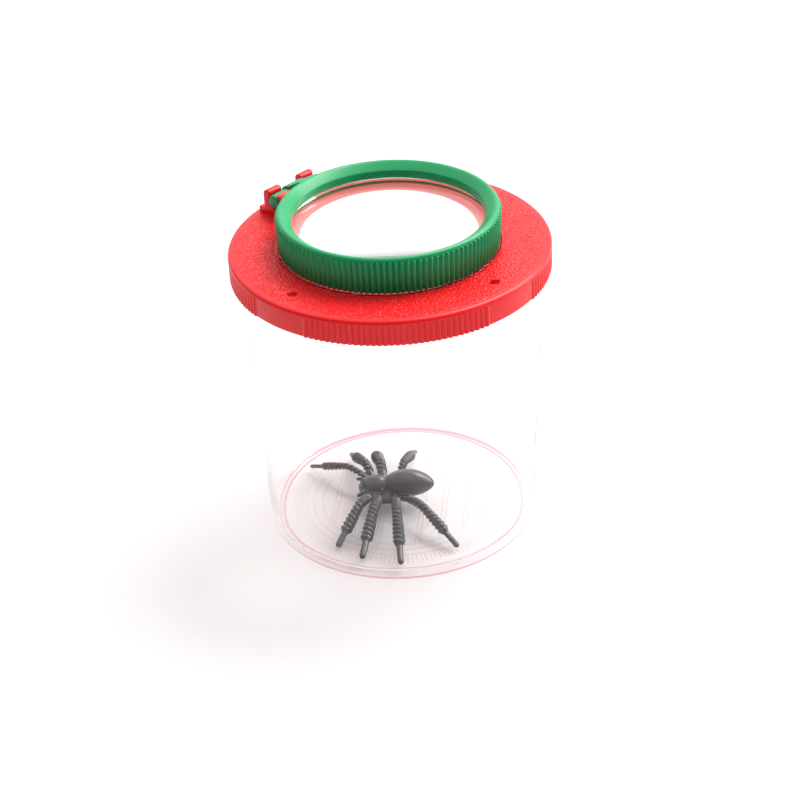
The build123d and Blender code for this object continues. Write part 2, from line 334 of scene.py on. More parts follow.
# painted reflection: pink of the red lid's light painted in a thick corner, outside a radius and below a
# height, with a painted line at each edge
def buildPaintedCornerLight():
    group, given, out = newGroup(
        "paintedCornerLight",
        [("Colour", "NodeSocketColor", (1, 1, 1, 1)),
         ("Painted Corner Colour", "NodeSocketColor", (1, 0.8, 0.8, 1)),
         ("Painted Line Colour", "NodeSocketColor", (1, 0.6, 0.6, 1)),
         ("Radius", "NodeSocketFloat", 0.03),
         ("Height", "NodeSocketFloat", 0.003),
         ("Inner Radius", "NodeSocketFloat", 0.03),
         ("Inner Level", "NodeSocketFloat", 0.002),
         ("Outer Radius", "NodeSocketFloat", 0.03),
         ("Outer Level", "NodeSocketFloat", 0.0)],
        [("Colour", "NodeSocketColor")])
    link = group.links.new
    place = addNode(group, "ShaderNodeTexCoord")
    parts, radius = addRadius(group, place)
    beyond = addNode(group, "ShaderNodeMath", operation="SUBTRACT")
    outwards = addNode(group, "ShaderNodeMapRange", {"From Min": 0.0, "From Max": 0.6 * mm},
                       interpolation_type="SMOOTHSTEP")
    upwards = addNode(group, "ShaderNodeMapRange", {"From Min": 0.0, "To Min": 1.0, "To Max": 0.0},
                      interpolation_type="SMOOTHSTEP")
    share = addNode(group, "ShaderNodeMath", operation="MULTIPLY")
    tint = addNode(group, "ShaderNodeMix", data_type="RGBA")
    lined = addNode(group, "ShaderNodeMix", data_type="RGBA")
    either = addNode(group, "ShaderNodeMath", operation="MAXIMUM")
    lineHalves = {"Inner": (0.30 * mm, 0.25 * mm), "Outer": (0.60 * mm, 0.50 * mm)}
    for number, (side, (width, height)) in enumerate(lineHalves.items()):
        near = addCompare(group, width)
        level = addCompare(group, height)
        both = addNode(group, "ShaderNodeMath", operation="MULTIPLY")
        link(radius.outputs["Value"], near.inputs[0])
        link(given.outputs[side + " Radius"], near.inputs[1])
        link(parts.outputs["Z"], level.inputs[0])
        link(given.outputs[side + " Level"], level.inputs[1])
        link(near.outputs[0], both.inputs[0])
        link(level.outputs[0], both.inputs[1])
        link(both.outputs[0], either.inputs[number])
    link(radius.outputs["Value"], beyond.inputs[0])
    link(given.outputs["Radius"], beyond.inputs[1])
    link(beyond.outputs[0], outwards.inputs["Value"])
    link(parts.outputs["Z"], upwards.inputs["Value"])
    link(given.outputs["Height"], upwards.inputs["From Max"])
    link(outwards.outputs[0], share.inputs[0])
    link(upwards.outputs[0], share.inputs[1])
    link(share.outputs[0], tint.inputs["Factor"])
    link(given.outputs["Colour"], tint.inputs["A"])
    link(given.outputs["Painted Corner Colour"], tint.inputs["B"])
    link(either.outputs[0], lined.inputs["Factor"])
    link(tint.outputs["Result"], lined.inputs["A"])
    link(given.outputs["Painted Line Colour"], lined.inputs["B"])
    link(lined.outputs["Result"], out.inputs["Colour"])
    return group


# painted light: a paler colour and a painted glow on one level inside a radius, standing in for light on a
# seat that lies in shade
def buildPaintedSeatGlow():
    group, given, out = newGroup(
        "paintedSeatGlow",
        [("Colour", "NodeSocketColor", (1, 0, 0, 1)),
         ("Seat Painted Pale", "NodeSocketColor", (1, 0.5, 0.5, 1)),
         ("Seat Painted Glow", "NodeSocketColor", (0.2, 0.1, 0.1, 1)),
         ("Radius", "NodeSocketFloat", 0.02),
         ("Level", "NodeSocketFloat", 0.0)],
        [("Colour", "NodeSocketColor"), ("Light", "NodeSocketColor")])
    link = group.links.new
    place = addNode(group, "ShaderNodeTexCoord")
    parts, radius = addRadius(group, place)
    inside = addNode(group, "ShaderNodeMath", operation="LESS_THAN")
    onLevel = addCompare(group, levelTolerance)
    mask = addNode(group, "ShaderNodeMath", operation="MULTIPLY")
    tint = addNode(group, "ShaderNodeMix", data_type="RGBA")
    light = addNode(group, "ShaderNodeMix", data_type="RGBA")
    light.inputs["A"].default_value = (0, 0, 0, 1)
    link(radius.outputs["Value"], inside.inputs[0])
    link(given.outputs["Radius"], inside.inputs[1])
    link(parts.outputs["Z"], onLevel.inputs[0])
    link(given.outputs["Level"], onLevel.inputs[1])
    link(inside.outputs[0], mask.inputs[0])
    link(onLevel.outputs[0], mask.inputs[1])
    link(mask.outputs[0], tint.inputs["Factor"])
    link(given.outputs["Colour"], tint.inputs["A"])
    link(given.outputs["Seat Painted Pale"], tint.inputs["B"])
    link(mask.outputs[0], light.inputs["Factor"])
    link(given.outputs["Seat Painted Glow"], light.inputs["B"])
    link(tint.outputs["Result"], out.inputs["Colour"])
    link(light.outputs["Result"], out.inputs["Light"])
    return group


mouldedSkin = buildMouldedSkin()
leatherGrain = buildLeatherGrain()
paintedCornerLight = buildPaintedCornerLight()
paintedSeatGlow = buildPaintedSeatGlow()

finishes = {
    "redColour": (0.90, 0.010, 0.014, 1),
    "redFlow": (0.82, 0.008, 0.011, 1),
    # painted light: the seat under the lid's lens is painted paler and given a glow, where it lies in shade
    "seatPaintedPale": (0.92, 0.08, 0.085, 1),
    "seatPaintedGlow": (0.62, 0.14, 0.145, 1),
    "greenColour": (0.006, 0.340, 0.112, 1),
    "greenFlow": (0.005, 0.295, 0.095, 1),
    "rubberColour": (0.030, 0.031, 0.035, 1),
    "rubberFlow": (0.042, 0.043, 0.047, 1),
    "jarTint": (1.0, 0.990, 0.991, 1),
    # painted reflection: pink of the red lid's light at the jar's foot, and the painted lines at its edges
    "jarPaintedCorner": (0.985, 0.82, 0.845, 1),
    "jarPaintedLine": (0.74, 0.26, 0.33, 1),
    "markTint": (0.95, 0.86, 0.87, 1),
    "lensTint": (0.985, 1.0, 0.992, 1),
    "clearIor": 1.49,
    "clearShine": (0.6, 0.6, 0.6, 1),
    "clearShade": (0.980, 0.979, 0.979, 1),
    "grainDepth": 0.16 * mm,    # depth of the bumps, and of the waves in clear plastic
    "greenDepth": 0.012 * mm,
    "rubberDepth": 0.008 * mm,
    "jarWave": 0.02 * mm,
    "lensWave": 0.004 * mm,
    "peelShare": 0.08,          # orange peel in the lid's grain
}


def linkSkin(tree, shader, skin, height, depth):
    # colour, gloss and bump of a moulded skin into the shader
    bump = addNode(tree, "ShaderNodeBump", {"Distance": depth, "Strength": 1.0})
    tree.links.new(skin.outputs["Colour"], shader.inputs["Base Color"])
    tree.links.new(skin.outputs["Roughness"], shader.inputs["Roughness"])
    tree.links.new(height, bump.inputs["Height"])
    tree.links.new(bump.outputs["Normal"], shader.inputs["Normal"])


def redPlastic():
    material, tree, shader = newMaterial("redPlastic", {
        "Specular IOR Level": 0.32, "IOR": 1.5, "Emission Strength": 1.0})
    skin = placeGroup(tree, mouldedSkin, {
        "Colour": finishes["redColour"], "Flow Colour": finishes["redFlow"],
        "Gloss": 0.24, "Gloss Spread": 0.12, "Flow Scale": 70.0, "Peel Scale": 2600.0})
    grain = placeGroup(tree, leatherGrain, {
        "Cell Scale": 1250.0, "Wander": 0.0009,
        "Inner Radius": (radii["lidSeat"] + 0.4) * mm, "Outer Radius": (radii["lid"] - 1.3) * mm,
        "Level": levels["lidTop"] * mm})
    height = addNode(tree, "ShaderNodeMath", operation="MULTIPLY_ADD")
    height.inputs[1].default_value = finishes["peelShare"]
    tree.links.new(skin.outputs["Height"], height.inputs[0])
    tree.links.new(grain.outputs["Grain"], height.inputs[2])
    linkSkin(tree, shader, skin, height.outputs[0], finishes["grainDepth"])
    # painted light: the lens seat inside this radius is painted paler and glows, though it lies in the
    # ring's shade
    seat = placeGroup(tree, paintedSeatGlow, {
        "Seat Painted Pale": finishes["seatPaintedPale"], "Seat Painted Glow": finishes["seatPaintedGlow"],
        "Radius": (radii["lensSeat"] + 0.3) * mm, "Level": levels["ledge"] * mm})
    tree.links.new(skin.outputs["Colour"], seat.inputs["Colour"])
    tree.links.new(seat.outputs["Colour"], shader.inputs["Base Color"])
    tree.links.new(seat.outputs["Light"], shader.inputs["Emission Color"])
    return material


def greenPlastic():
    material, tree, shader = newMaterial("greenPlastic", {"Specular IOR Level": 0.4, "IOR": 1.5})
    skin = placeGroup(tree, mouldedSkin, {
        "Colour": finishes["greenColour"], "Flow Colour": finishes["greenFlow"],
        "Gloss": 0.28, "Gloss Spread": 0.06, "Flow Scale": 80.0, "Peel Scale": 2200.0})
    linkSkin(tree, shader, skin, skin.outputs["Height"], finishes["greenDepth"])
    return material


def darkRubber():
    material, tree, shader = newMaterial("darkRubber", {"Specular IOR Level": 0.75, "IOR": 1.5})
    skin = placeGroup(tree, mouldedSkin, {
        "Colour": finishes["rubberColour"], "Flow Colour": finishes["rubberFlow"],
        "Gloss": 0.18, "Gloss Spread": 0.14, "Flow Scale": 260.0, "Peel Scale": 3200.0})
    linkSkin(tree, shader, skin, skin.outputs["Height"], finishes["rubberDepth"])
    return material


def clearPlastic(name, tint, waviness, corner=None):
    # light passes straight through for shadows, so what is inside stays lit
    material, tree, shader = newMaterial(name, {
        "Base Color": tint, "Transmission Weight": 1.0, "IOR": finishes["clearIor"], "Roughness": 0.0,
        "Specular Tint": finishes["clearShine"]})
    link = tree.links.new
    # the corner zones carry a painted reflection of the red lid's light and painted edge lines
    if corner:
        paintedFoot = placeGroup(tree, paintedCornerLight, {"Colour": tint, **corner})
        link(paintedFoot.outputs["Colour"], shader.inputs["Base Color"])
    place = addNode(tree, "ShaderNodeTexCoord")
    wave = addNode(tree, "ShaderNodeTexNoise", {"Scale": 90.0, "Detail": 1.0})
    bump = addNode(tree, "ShaderNodeBump", {"Distance": waviness, "Strength": 1.0})
    through = addNode(tree, "ShaderNodeBsdfTransparent", {"Color": finishes["clearShade"]})
    path = addNode(tree, "ShaderNodeLightPath")
    passes = addNode(tree, "ShaderNodeMath", operation="MAXIMUM")
    mix = addNode(tree, "ShaderNodeMixShader")
    link(place.outputs["Object"], wave.inputs["Vector"])
    link(wave.outputs["Fac"], bump.inputs["Height"])
    link(bump.outputs["Normal"], shader.inputs["Normal"])
    link(path.outputs["Is Shadow Ray"], passes.inputs[0])
    link(path.outputs["Is Diffuse Ray"], passes.inputs[1])
    link(passes.outputs[0], mix.inputs["Fac"])
    link(shader.outputs[0], mix.inputs[1])
    link(through.outputs[0], mix.inputs[2])
    link(mix.outputs[0], tree.nodes["Material Output"].inputs["Surface"])
    return material


redFinish = redPlastic()
greenFinish = greenPlastic()
rubberFinish = darkRubber()
jarPaintedZones = {        # painted reflection: pink of the red lid's light at the jar's foot, and two painted lines at its edges
    "Radius": 27.6 * mm, "Height": 3.6 * mm, "Inner Radius": 27.9 * mm, "Inner Level": 1.7 * mm,
    "Outer Radius": 30.4 * mm, "Outer Level": 0.4 * mm}
jarFinish = clearPlastic("clearJar", finishes["jarTint"], finishes["jarWave"], {
    "Painted Corner Colour": finishes["jarPaintedCorner"], "Painted Line Colour": finishes["jarPaintedLine"], **jarPaintedZones})
marksFinish = clearPlastic("clearMarks", finishes["markTint"], finishes["jarWave"])
lensFinish = clearPlastic("clearLens", finishes["lensTint"], finishes["lensWave"])
print("finishes made")


# clear jar
jar = {
    "baseRadius": 30.5,
    "wall": 1.3,
    "mouthBand": 6.5,
    "baseRound": 0.7,
    "rimRound": 0.5,
    "floorRound": 1.5,
    "steps": 288,
}


def jarShell():
    bandStart = levels["mouth"] - jar["mouthBand"]
    taper = (radii["mouth"] - jar["baseRadius"]) / bandStart
    inside = radii["mouth"] - jar["wall"]
    floorEdge = jar["baseRadius"] + taper * levels["jarFloor"] - jar["wall"]
    points = [
        (0, 0), (jar["baseRadius"], 0), (radii["mouth"], bandStart), (radii["mouth"], levels["mouth"]),
        (inside, levels["mouth"]), (inside, bandStart), (floorEdge, levels["jarFloor"]),
        (0, levels["jarFloor"]),
    ]
    bm = bmesh.new()
    drawOutline(bm, points, {1: jar["baseRound"], 3: jar["rimRound"], 4: jar["rimRound"],
                             6: jar["floorRound"]}, 8)
    turnOutline(bm, jar["steps"])
    finishPiece(meshObject("jar_shell", bm), "jar", jarFinish, "jar_cup", 30)


jarShell()


# measuring marks moulded on the jar's floor
floorMarks = {
    "turn": -53.5,          # columns as the jar stands in the photograph
    "height": 0.03,
    "width": 0.32,
    "sink": 0.02,
    "circles": (18.7, 20.7, 22.5),
    "tickBand": (22.9, 25.6),
    "tickCount": 150,
    "column": 5.0,          # grid columns
    "columnPair": 1.0,      # gap between the two lines of a column
    "rung": 2.5,            # short cross lines
    "rungLength": 0.6,
    "barTop": 0.45,         # share of the width that is left at the top
    "circleTop": 0.4,
    "circleSteps": 180,
}


def markBar(bm, middle, length, degrees):
    # one low bar, narrower at its top
    size = Matrix.Diagonal((length * mm, floorMarks["width"] * mm,
                            (floorMarks["height"] + floorMarks["sink"]) * mm, 1))
    lift = levels["jarFloor"] + (floorMarks["height"] - floorMarks["sink"]) / 2
    place = Matrix.Translation((middle[0] * mm, middle[1] * mm, lift * mm))
    turn = Matrix.Rotation(math.radians(degrees), 4, "Z")
    bar = bmesh.ops.create_cube(bm, size=1, matrix=place @ turn @ size)
    top = [v for v in bar["verts"] if v.co.z > lift * mm]
    middleLine = place @ turn
    for v in top:
        spot = middleLine.inverted() @ v.co
        spot.y *= floorMarks["barTop"]
        v.co = middleLine @ spot


def markCircle(bm, radius):
    half = floorMarks["width"] / 2
    low = levels["jarFloor"] - floorMarks["sink"]
    high = levels["jarFloor"] + floorMarks["height"]
    part = bmesh.new()
    topHalf = floorMarks["circleTop"] * half
    drawOutline(part, [(radius - half, low), (radius + half, low), (radius + topHalf, high),
                       (radius - topHalf, high)], {})
    turnOutline(part, floorMarks["circleSteps"])
    mesh = bpy.data.meshes.new("markCircle")
    part.to_mesh(mesh)
    part.free()
    bm.from_mesh(mesh)
    bpy.data.meshes.remove(mesh)


def floorGrid():
    bm = bmesh.new()
    for radius in floorMarks["circles"]:
        markCircle(bm, radius)
    inner, outer = floorMarks["tickBand"]
    for tick in range(floorMarks["tickCount"]):
        degrees = tick * 360 / floorMarks["tickCount"]
        markBar(bm, polar((inner + outer) / 2, degrees), outer - inner, degrees)
    reach = floorMarks["circles"][0]
    columns = int(reach / floorMarks["column"])
    for column in range(-columns, columns + 1):
        x = column * floorMarks["column"]
        chord = math.sqrt(reach ** 2 - x ** 2) - 2 * floorMarks["width"]
        for side in (-1, 1):
            line = x + side * floorMarks["columnPair"] / 2
            reachHere = math.sqrt(reach ** 2 - line ** 2) - 2.5 * floorMarks["width"]
            markBar(bm, (line, 0), 2 * reachHere, 90)
        for rung in range(-int(chord / floorMarks["rung"]), int(chord / floorMarks["rung"]) + 1):
            markBar(bm, (x, rung * floorMarks["rung"]), floorMarks["rungLength"], 0)
    bmesh.ops.rotate(bm, verts=bm.verts[:], cent=(0, 0, 0),
                     matrix=Matrix.Rotation(math.radians(floorMarks["turn"]), 3, "Z"))
    bmesh.ops.recalc_face_normals(bm, faces=bm.faces[:])
    finishPiece(meshObject("floor_marks", bm), "jar", marksFinish)


floorGrid()


# lenses with two curved faces and a rim between them
lenses = {
    "steps": 192,
    "arcSteps": 24,
    "play": 0.05,
    "flip": {"sight": 20.7, "top": 73.27, "edge": 4.2, "topRise": 0.85, "bottomRise": 0.18},
    "lid": {"ledge": levels["ledge"] + 0.03,    # a hair above the lid's ledge, so the two never coincide
            "flange": 0.92, "round": 0.3, "bead": 0.2, "topRise": 0.2, "bottomRise": 0.8},
}


def capArc(bm, sight, level, rise):
    # edge of a spherical face, from its rim to its pole
    ball = (sight ** 2 + rise ** 2) / (2 * abs(rise))
    side = math.copysign(1, rise)
    start = bm.verts.new((sight * mm, 0, level * mm))
    centre = (0, 0, (level + rise - side * ball) * mm)
    sweep = math.asin(sight / ball)
    bmesh.ops.spin(bm, geom=[start], cent=centre, axis=(0, 1, 0), dvec=(0, 0, 0),
                   angle=-side * sweep, steps=lenses["arcSteps"])


def flipLensRim():
    size = lenses["flip"]
    bottom = size["top"] - size["edge"]
    edge = radii["lensSeat"] - lenses["play"]
    return [(size["sight"], size["top"]), (edge, size["top"]), (edge, bottom), (size["sight"], bottom)]


def lidLensRim():
    # flange on the lid's ledge, then a plug with a bead that grips under the plate
    size = lenses["lid"]
    top = size["ledge"] + size["flange"]
    edge = radii["lidSeat"] - lenses["play"]
    plug = radii["window"] - lenses["play"]
    bead = levels["mouth"] - lenses["play"]
    corner = [polar(size["round"], degrees) for degrees in (90, 68, 45, 22, 0)]
    return [(plug, top), *((edge - size["round"] + x, top - size["round"] + z) for x, z in corner),
            (edge, size["ledge"]), (plug, size["ledge"]), (plug, bead),
            (plug + size["bead"], bead - size["bead"]), (plug, bead - 2 * size["bead"])]


def lensGlass(name, rim, size, body, node):
    bm = bmesh.new()
    capArc(bm, *rim[0], size["topRise"])
    capArc(bm, *rim[-1], -size["bottomRise"])
    spots = [bm.verts.new((r * mm, 0, z * mm)) for r, z in rim]
    for first, second in zip(spots, spots[1:]):
        bm.edges.new((first, second))
    bmesh.ops.remove_doubles(bm, verts=bm.verts[:], dist=0.002 * mm)
    turnOutline(bm, lenses["steps"])
    finishPiece(meshObject(name, bm), body, lensFinish, node, 25)


lensGlass("flip_lens_glass", flipLensRim(), lenses["flip"], "magnifier", "flip_lens")
lensGlass("lid_lens_glass", lidLensRim(), lenses["lid"], "lid", "lid_lens")


# red lid
lid = {
    "plate": 1.8,
    "skirtWall": 1.5,
    "ribDepth": 0.35,
    "rimBand": 0.9,             # plain rim above the ribs
    "ribEnd": 0.25,             # slope at the upper end of a rib
    "edgeRound": 0.85,
    "seatRound": 0.08,
    "skirtRound": 0.25,
    "ribsPerQuarter": 33,
    "pitchesPerQuarter": 44,    # ribs and the width of one plain panel
    "stepsPerRib": 8,
    "airHole": 1.1,
    "airHoleRound": 0.1,
    "airCircle": 29.675,
    "airAngles": (180, 270, 360),
}


def lidPlate():
    top = levels["lidTop"]
    rim = top - lid["rimBand"]
    outer = radii["lid"]
    inside = outer - lid["ribDepth"] - lid["skirtWall"]
    ledge = levels["ledge"]
    points = [
        (inside, levels["skirtEdge"]), (outer, levels["skirtEdge"]), (outer, rim - lid["ribEnd"]),
        (outer, rim), (outer, top), (radii["lidSeat"], top), (radii["lidSeat"], ledge),
        (radii["window"], ledge), (radii["window"], levels["mouth"]), (inside, levels["mouth"]),
    ]
    bm = bmesh.new()
    drawOutline(bm, points, {1: lid["skirtRound"], 4: lid["edgeRound"], 5: lid["seatRound"]})
    pitches = 4 * lid["pitchesPerQuarter"]
    turnOutline(bm, pitches * lid["stepsPerRib"])
    panel = (lid["pitchesPerQuarter"] - lid["ribsPerQuarter"]) / 2
    for v in bm.verts:
        radius = math.hypot(v.co.x, v.co.y) / mm
        if radius > outer - 1.5 * lid["skirtRound"] and v.co.z / mm < rim - 0.5 * lid["ribEnd"]:
            turn = math.atan2(v.co.y, v.co.x) / fullTurn * pitches % lid["pitchesPerQuarter"]
            ribbed = panel - 0.01 < turn < lid["pitchesPerQuarter"] - panel + 0.01
            height = ribHeight(turn - panel) if ribbed else 0
            scale = (radius - lid["ribDepth"] * (1 - height)) / radius
            v.co.x *= scale
            v.co.y *= scale
    bm.normal_update()
    return meshObject("lid_shell", bm)


def airHoleCutter():
    # one plug with a flared mouth at each hole
    bm = bmesh.new()
    top = levels["lidTop"]
    rise = 0.4
    start = top - 2 * lid["plate"]
    flare = lid["airHole"] + lid["airHoleRound"] + rise
    drawOutline(bm, [(0, start), (lid["airHole"], start), (lid["airHole"], top - lid["airHoleRound"]),
                     (flare, top + rise), (0, top + rise)], {})
    turnOutline(bm, 32)
    plug = bm.verts[:] + bm.edges[:] + bm.faces[:]
    for number, degrees in enumerate(lid["airAngles"]):
        last = number == len(lid["airAngles"]) - 1
        placed = plug if last else bmesh.ops.duplicate(bm, geom=plug)["geom"]
        x, y = polar(lid["airCircle"], degrees)
        bmesh.ops.translate(bm, verts=vertsOf(placed), vec=(x * mm, y * mm, 0))
    return meshObject("airHoleCutter", bm)


# hinge hooks on the lid
hook = {
    "inside": 3.0,          # from the middle of the hinge
    "width": 3.95,
    "bore": 1.75,
    "lip": 0.6,             # wall in front of the rod
    "wall": 1.7,            # wall behind it
    "crest": 0.5,
    "crestWidth": 2.3,
    "crestRound": 1.0,
    "footStep": 1.7,
    "footHeight": 1.35,
    "mouthFront": 114,      # edges of the mouth, as angles round the rod
    "mouthBack": 20,
    "edgeRound": 0.28,
    "sink": 0.6,
}


def lidHook(side):
    bm = bmesh.new()
    bore = hook["bore"]
    front = -bore - hook["lip"]
    back = bore + hook["wall"]
    crest = bore + hook["crest"]
    footTop = levels["lidTop"] + hook["footHeight"] - rod["z"]
    footBack = back + hook["footStep"]
    buried = levels["lidTop"] - hook["sink"] - rod["z"]

    def spot(y, z):
        return (side * hook["inside"] * mm, (rod["y"] + y) * mm, (rod["z"] + z) * mm)

    def sweep(start, degrees, steps):
        made = bmesh.ops.spin(bm, geom=[start], cent=spot(0, 0), axis=(1, 0, 0), dvec=(0, 0, 0),
                              angle=math.radians(degrees), steps=steps)
        return vertsOf(made["geom_last"])[0]

    first = bm.verts.new(spot(*polar(bore, hook["mouthFront"])))
    last = sweep(first, 360 + hook["mouthBack"] - hook["mouthFront"], 28)
    outer = [(back - hook["crestWidth"], crest), (back, crest), (back, footTop), (footBack, footTop),
             (footBack, buried), (front, buried), (front, 0)]
    corners = [bm.verts.new(spot(y, z)) for y, z in outer]
    lipEnd = sweep(corners[-1], hook["mouthFront"] - 180, 8)
    for begin, end in zip([last] + corners[:-1], corners):
        bm.edges.new((begin, end))
    bm.edges.new((lipEnd, first))
    bmesh.ops.contextual_create(bm, geom=bm.edges[:])
    bmesh.ops.bevel(bm, geom=corners[:2], offset=hook["crestRound"] * mm, segments=5, profile=0.5,
                    affect="VERTICES", material=-1)
    thickenOutline(bm, side * hook["width"], hook["edgeRound"])
    return meshObject("lidHook", bm)


lidPiece = lidPlate()
combine(lidPiece, airHoleCutter(), "DIFFERENCE")
for hookSide in (1, -1):
    combine(lidPiece, lidHook(hookSide), "UNION")
finishPiece(lidPiece, "lid", redFinish, "lid")


# green magnifier ring
ring = {
    "crown": 0.7,
    "crownRound": 0.65,
    "crownFlat": 0.35,
    "slopeDrop": 1.5,
    "lipWidth": 1.4,
    "lipThickness": 1.7,
    "ribs": 120,
    "ribDepth": 0.48,
    "ribProud": 0.38,       # the ribs stand out this much from the crown
    "ribTip": 0.2,          # height of the rounded upper end of a rib
    "footRound": 0.12,
    "stepsPerRib": 8,
    "bead": 0.2,
    "lipRound": 0.2,
    "ribStep": 0.05,        # between a rib's upper end and the crown
    "armStart": 22.975,
    "armWidth": 5.4,
    "armDrop": 0.3,
    "armRound": 0.35,
    "knuckle": 2.3,
    "rodEnd": 7.3,          # half the rod's length
    "rodRound": 0.6,
}


def ringWall():
    top = levels["ringTop"]
    foot = levels["ringFoot"]
    outer = radii["ring"]
    crown = outer - ring["ribProud"]
    ribTop = top - ring["crown"]
    seat = radii["lensSeat"]
    lip = seat - ring["lipWidth"]
    lipLevel = top - ring["slopeDrop"]
    shoulder = lipLevel - ring["lipThickness"]
    underLens = shoulder - lenses["flip"]["edge"]
    tip = ring["ribTip"]
    points = [
        (seat, foot), (radii["ringFoot"], foot), (outer, ribTop - tip),
        (outer - 0.3 * ring["ribProud"], ribTop - 0.4 * tip),
        (crown, ribTop - ring["ribStep"]), (crown, ribTop),
        (crown, top), (crown - ring["crownRound"] - ring["crownFlat"], top),
        (lip, lipLevel), (lip, shoulder), (seat, shoulder), (seat, underLens - lenses["play"]),
        (seat - ring["bead"], underLens - ring["bead"]), (seat, underLens - 2 * ring["bead"]),
    ]
    bm = bmesh.new()
    drawOutline(bm, points, {1: ring["footRound"], 6: ring["crownRound"], 7: ring["crownRound"] / 2,
                             8: ring["lipRound"]}, 6)
    turnOutline(bm, ring["ribs"] * ring["stepsPerRib"])
    for v in bm.verts:
        radius = math.hypot(v.co.x, v.co.y) / mm
        if radius > radii["ringFoot"] - 1.2 * ring["footRound"] and v.co.z / mm < ribTop - 0.01:
            share = math.atan2(v.co.y, v.co.x) / fullTurn * ring["ribs"] % 1
            scale = (radius - ring["ribDepth"] * (1 - ribHeight(share))) / radius
            v.co.x *= scale
            v.co.y *= scale
    bm.normal_update()
    return meshObject("ring_shell", bm)


def ringArm():
    # arm and knuckle; the rod that the hooks hold is joined on after
    bm = bmesh.new()
    start = ring["armStart"]
    armTop = levels["ringTop"] - ring["armDrop"]
    half = ring["armWidth"] / 2

    def spot(y, z):
        return (-half * mm, y * mm, z * mm)

    low = bm.verts.new(spot(rod["y"], rod["z"] - ring["knuckle"]))
    arc = bmesh.ops.spin(bm, geom=[low], cent=spot(rod["y"], rod["z"]), axis=(1, 0, 0), dvec=(0, 0, 0),
                         angle=math.pi, steps=20)
    high = vertsOf(arc["geom_last"])[0]
    outer = [(radii["ring"], armTop), (start, armTop), (start, rod["z"] - ring["knuckle"])]
    chain = [high] + [bm.verts.new(spot(y, z)) for y, z in outer] + [low]
    for begin, end in zip(chain, chain[1:]):
        bm.edges.new((begin, end))
    bmesh.ops.contextual_create(bm, geom=bm.edges[:])
    thickenOutline(bm, ring["armWidth"], ring["armRound"])
    return meshObject("ringArm", bm)


def ringRod():
    bm = bmesh.new()
    place = Matrix.Translation((0, rod["y"] * mm, rod["z"] * mm)) @ Matrix.Rotation(math.pi / 2, 4, "Y")
    bmesh.ops.create_cone(bm, cap_ends=True, segments=48, radius1=rod["radius"] * mm,
                          radius2=rod["radius"] * mm, depth=2 * ring["rodEnd"] * mm, matrix=place)
    ends = [e for e in bm.edges if e.calc_face_angle(0) > math.radians(60)]
    bmesh.ops.bevel(bm, geom=ends, offset=ring["rodRound"] * mm, segments=4, profile=0.5,
                    affect="EDGES", material=-1)
    return meshObject("ringRod", bm)


ringPiece = ringWall()
armPiece = ringArm()
combine(armPiece, ringRod(), "UNION")
combine(ringPiece, armPiece, "UNION")
finishPiece(ringPiece, "magnifier", greenFinish, "flip_ring")


# toy spider, one soft moulding
spider = {
    "middle": (-3.0, 2.8),
    "heading": 125,
    "bodyHeight": 4.7,
    "abdomen": (11.6, 6.6, 6.2),    # length, width, height
    "tailPinch": 0.18,
    "head": (7.6, 5.4, 4.2),
    "headDrop": 0.8,
    "bodyOverlap": 1.8,
    "shield": (8.4, 7.8, 1.2),      # flat plate whose rim shows round the head
    "shieldDrop": 1.5,
    "sternum": (9.4, 6.6, 3.0),     # mass under the head that the legs grow from
    "sternumPlace": (-0.2, 1.2, -2.7),
    "footReach": 26.67,
    "hipSpread": 3.2,
    "legBends": ((0, 2.6), (0.12, 3.7), (0.32, 4.4), (0.40, 4.2), (0.72, 2.2), (1, 0.35)),
    "hipRadius": 1.0,
    "ankleRadius": 1.24,
    "toeRadius": 0.72,
    "toeStart": 0.77,
    "tipStart": 0.96,               # the toe is rounded off from here, as shares of the leg
    "tipLength": 0.04,
    "twistPitch": 1.2,              # slanted ridges round the legs
    "twistStarts": 2,
    "twistDepth": 0.24,
    "legSteps": 120,
    "legSides": 20,
    "voxel": 0.17,
    "legs": [                       # hip along the body, direction and reach of the foot, thickness
        (2.6, 185.3, 0.905, 1.0), (0.6, 201.8, 0.962, 1.05),
        (-2.8, 221.4, 1.0, 1.0), (-4.6, 252.6, 0.909, 0.9),
        (4.0, 101.3, 0.983, 0.68), (3.2, 77.1, 0.826, 0.9),
        (0.7, 62.7, 0.726, 1.1), (-2.7, 32.8, 0.698, 0.85)],
    "palps": (((2.6, 1.8, -1.6), (4.4, 2.6, -1.4), (6.0, 3.2, -2.2)),
              ((2.6, -1.0, -1.2), (4.6, -1.6, -0.8), (7.0, -2.7, -1.4))),
    "palpRadius": 0.95,
    "palpTaper": 0.6,
    "palpSteps": 24,
    "bump": (1.0, 0.8, 0.6),
    "bumpPlace": (0.0, 2.6, -0.5),
}


def legThickness(share):
    swell = spider["hipRadius"] + (spider["ankleRadius"] - spider["hipRadius"]) * smoothStep(0.3, 0.7, share)
    toe = smoothStep(spider["toeStart"] - 0.02, spider["toeStart"] + 0.02, share)
    thick = swell + (spider["toeRadius"] - swell) * toe
    tip = max(share - spider["tipStart"], 0) / spider["tipLength"]
    return thick * math.sqrt(max(1 - tip * tip, 0.02))


def smoothPath(points, steps):
    # the corners are cut three times, then the path is walked in even steps
    for turn in range(3):
        cut = [points[0]]
        for begin, end in zip(points, points[1:]):
            cut += [begin.lerp(end, 0.25), begin.lerp(end, 0.75)]
        points = cut + [points[-1]]
    lengths = [(end - begin).length for begin, end in zip(points, points[1:])]
    path = []
    number = 0
    passed = 0
    for step in range(steps):
        goal = sum(lengths) * step / (steps - 1)
        while number < len(lengths) - 1 and passed + lengths[number] < goal:
            passed += lengths[number]
            number += 1
        path.append(points[number].lerp(points[number + 1], (goal - passed) / lengths[number]))
    return path


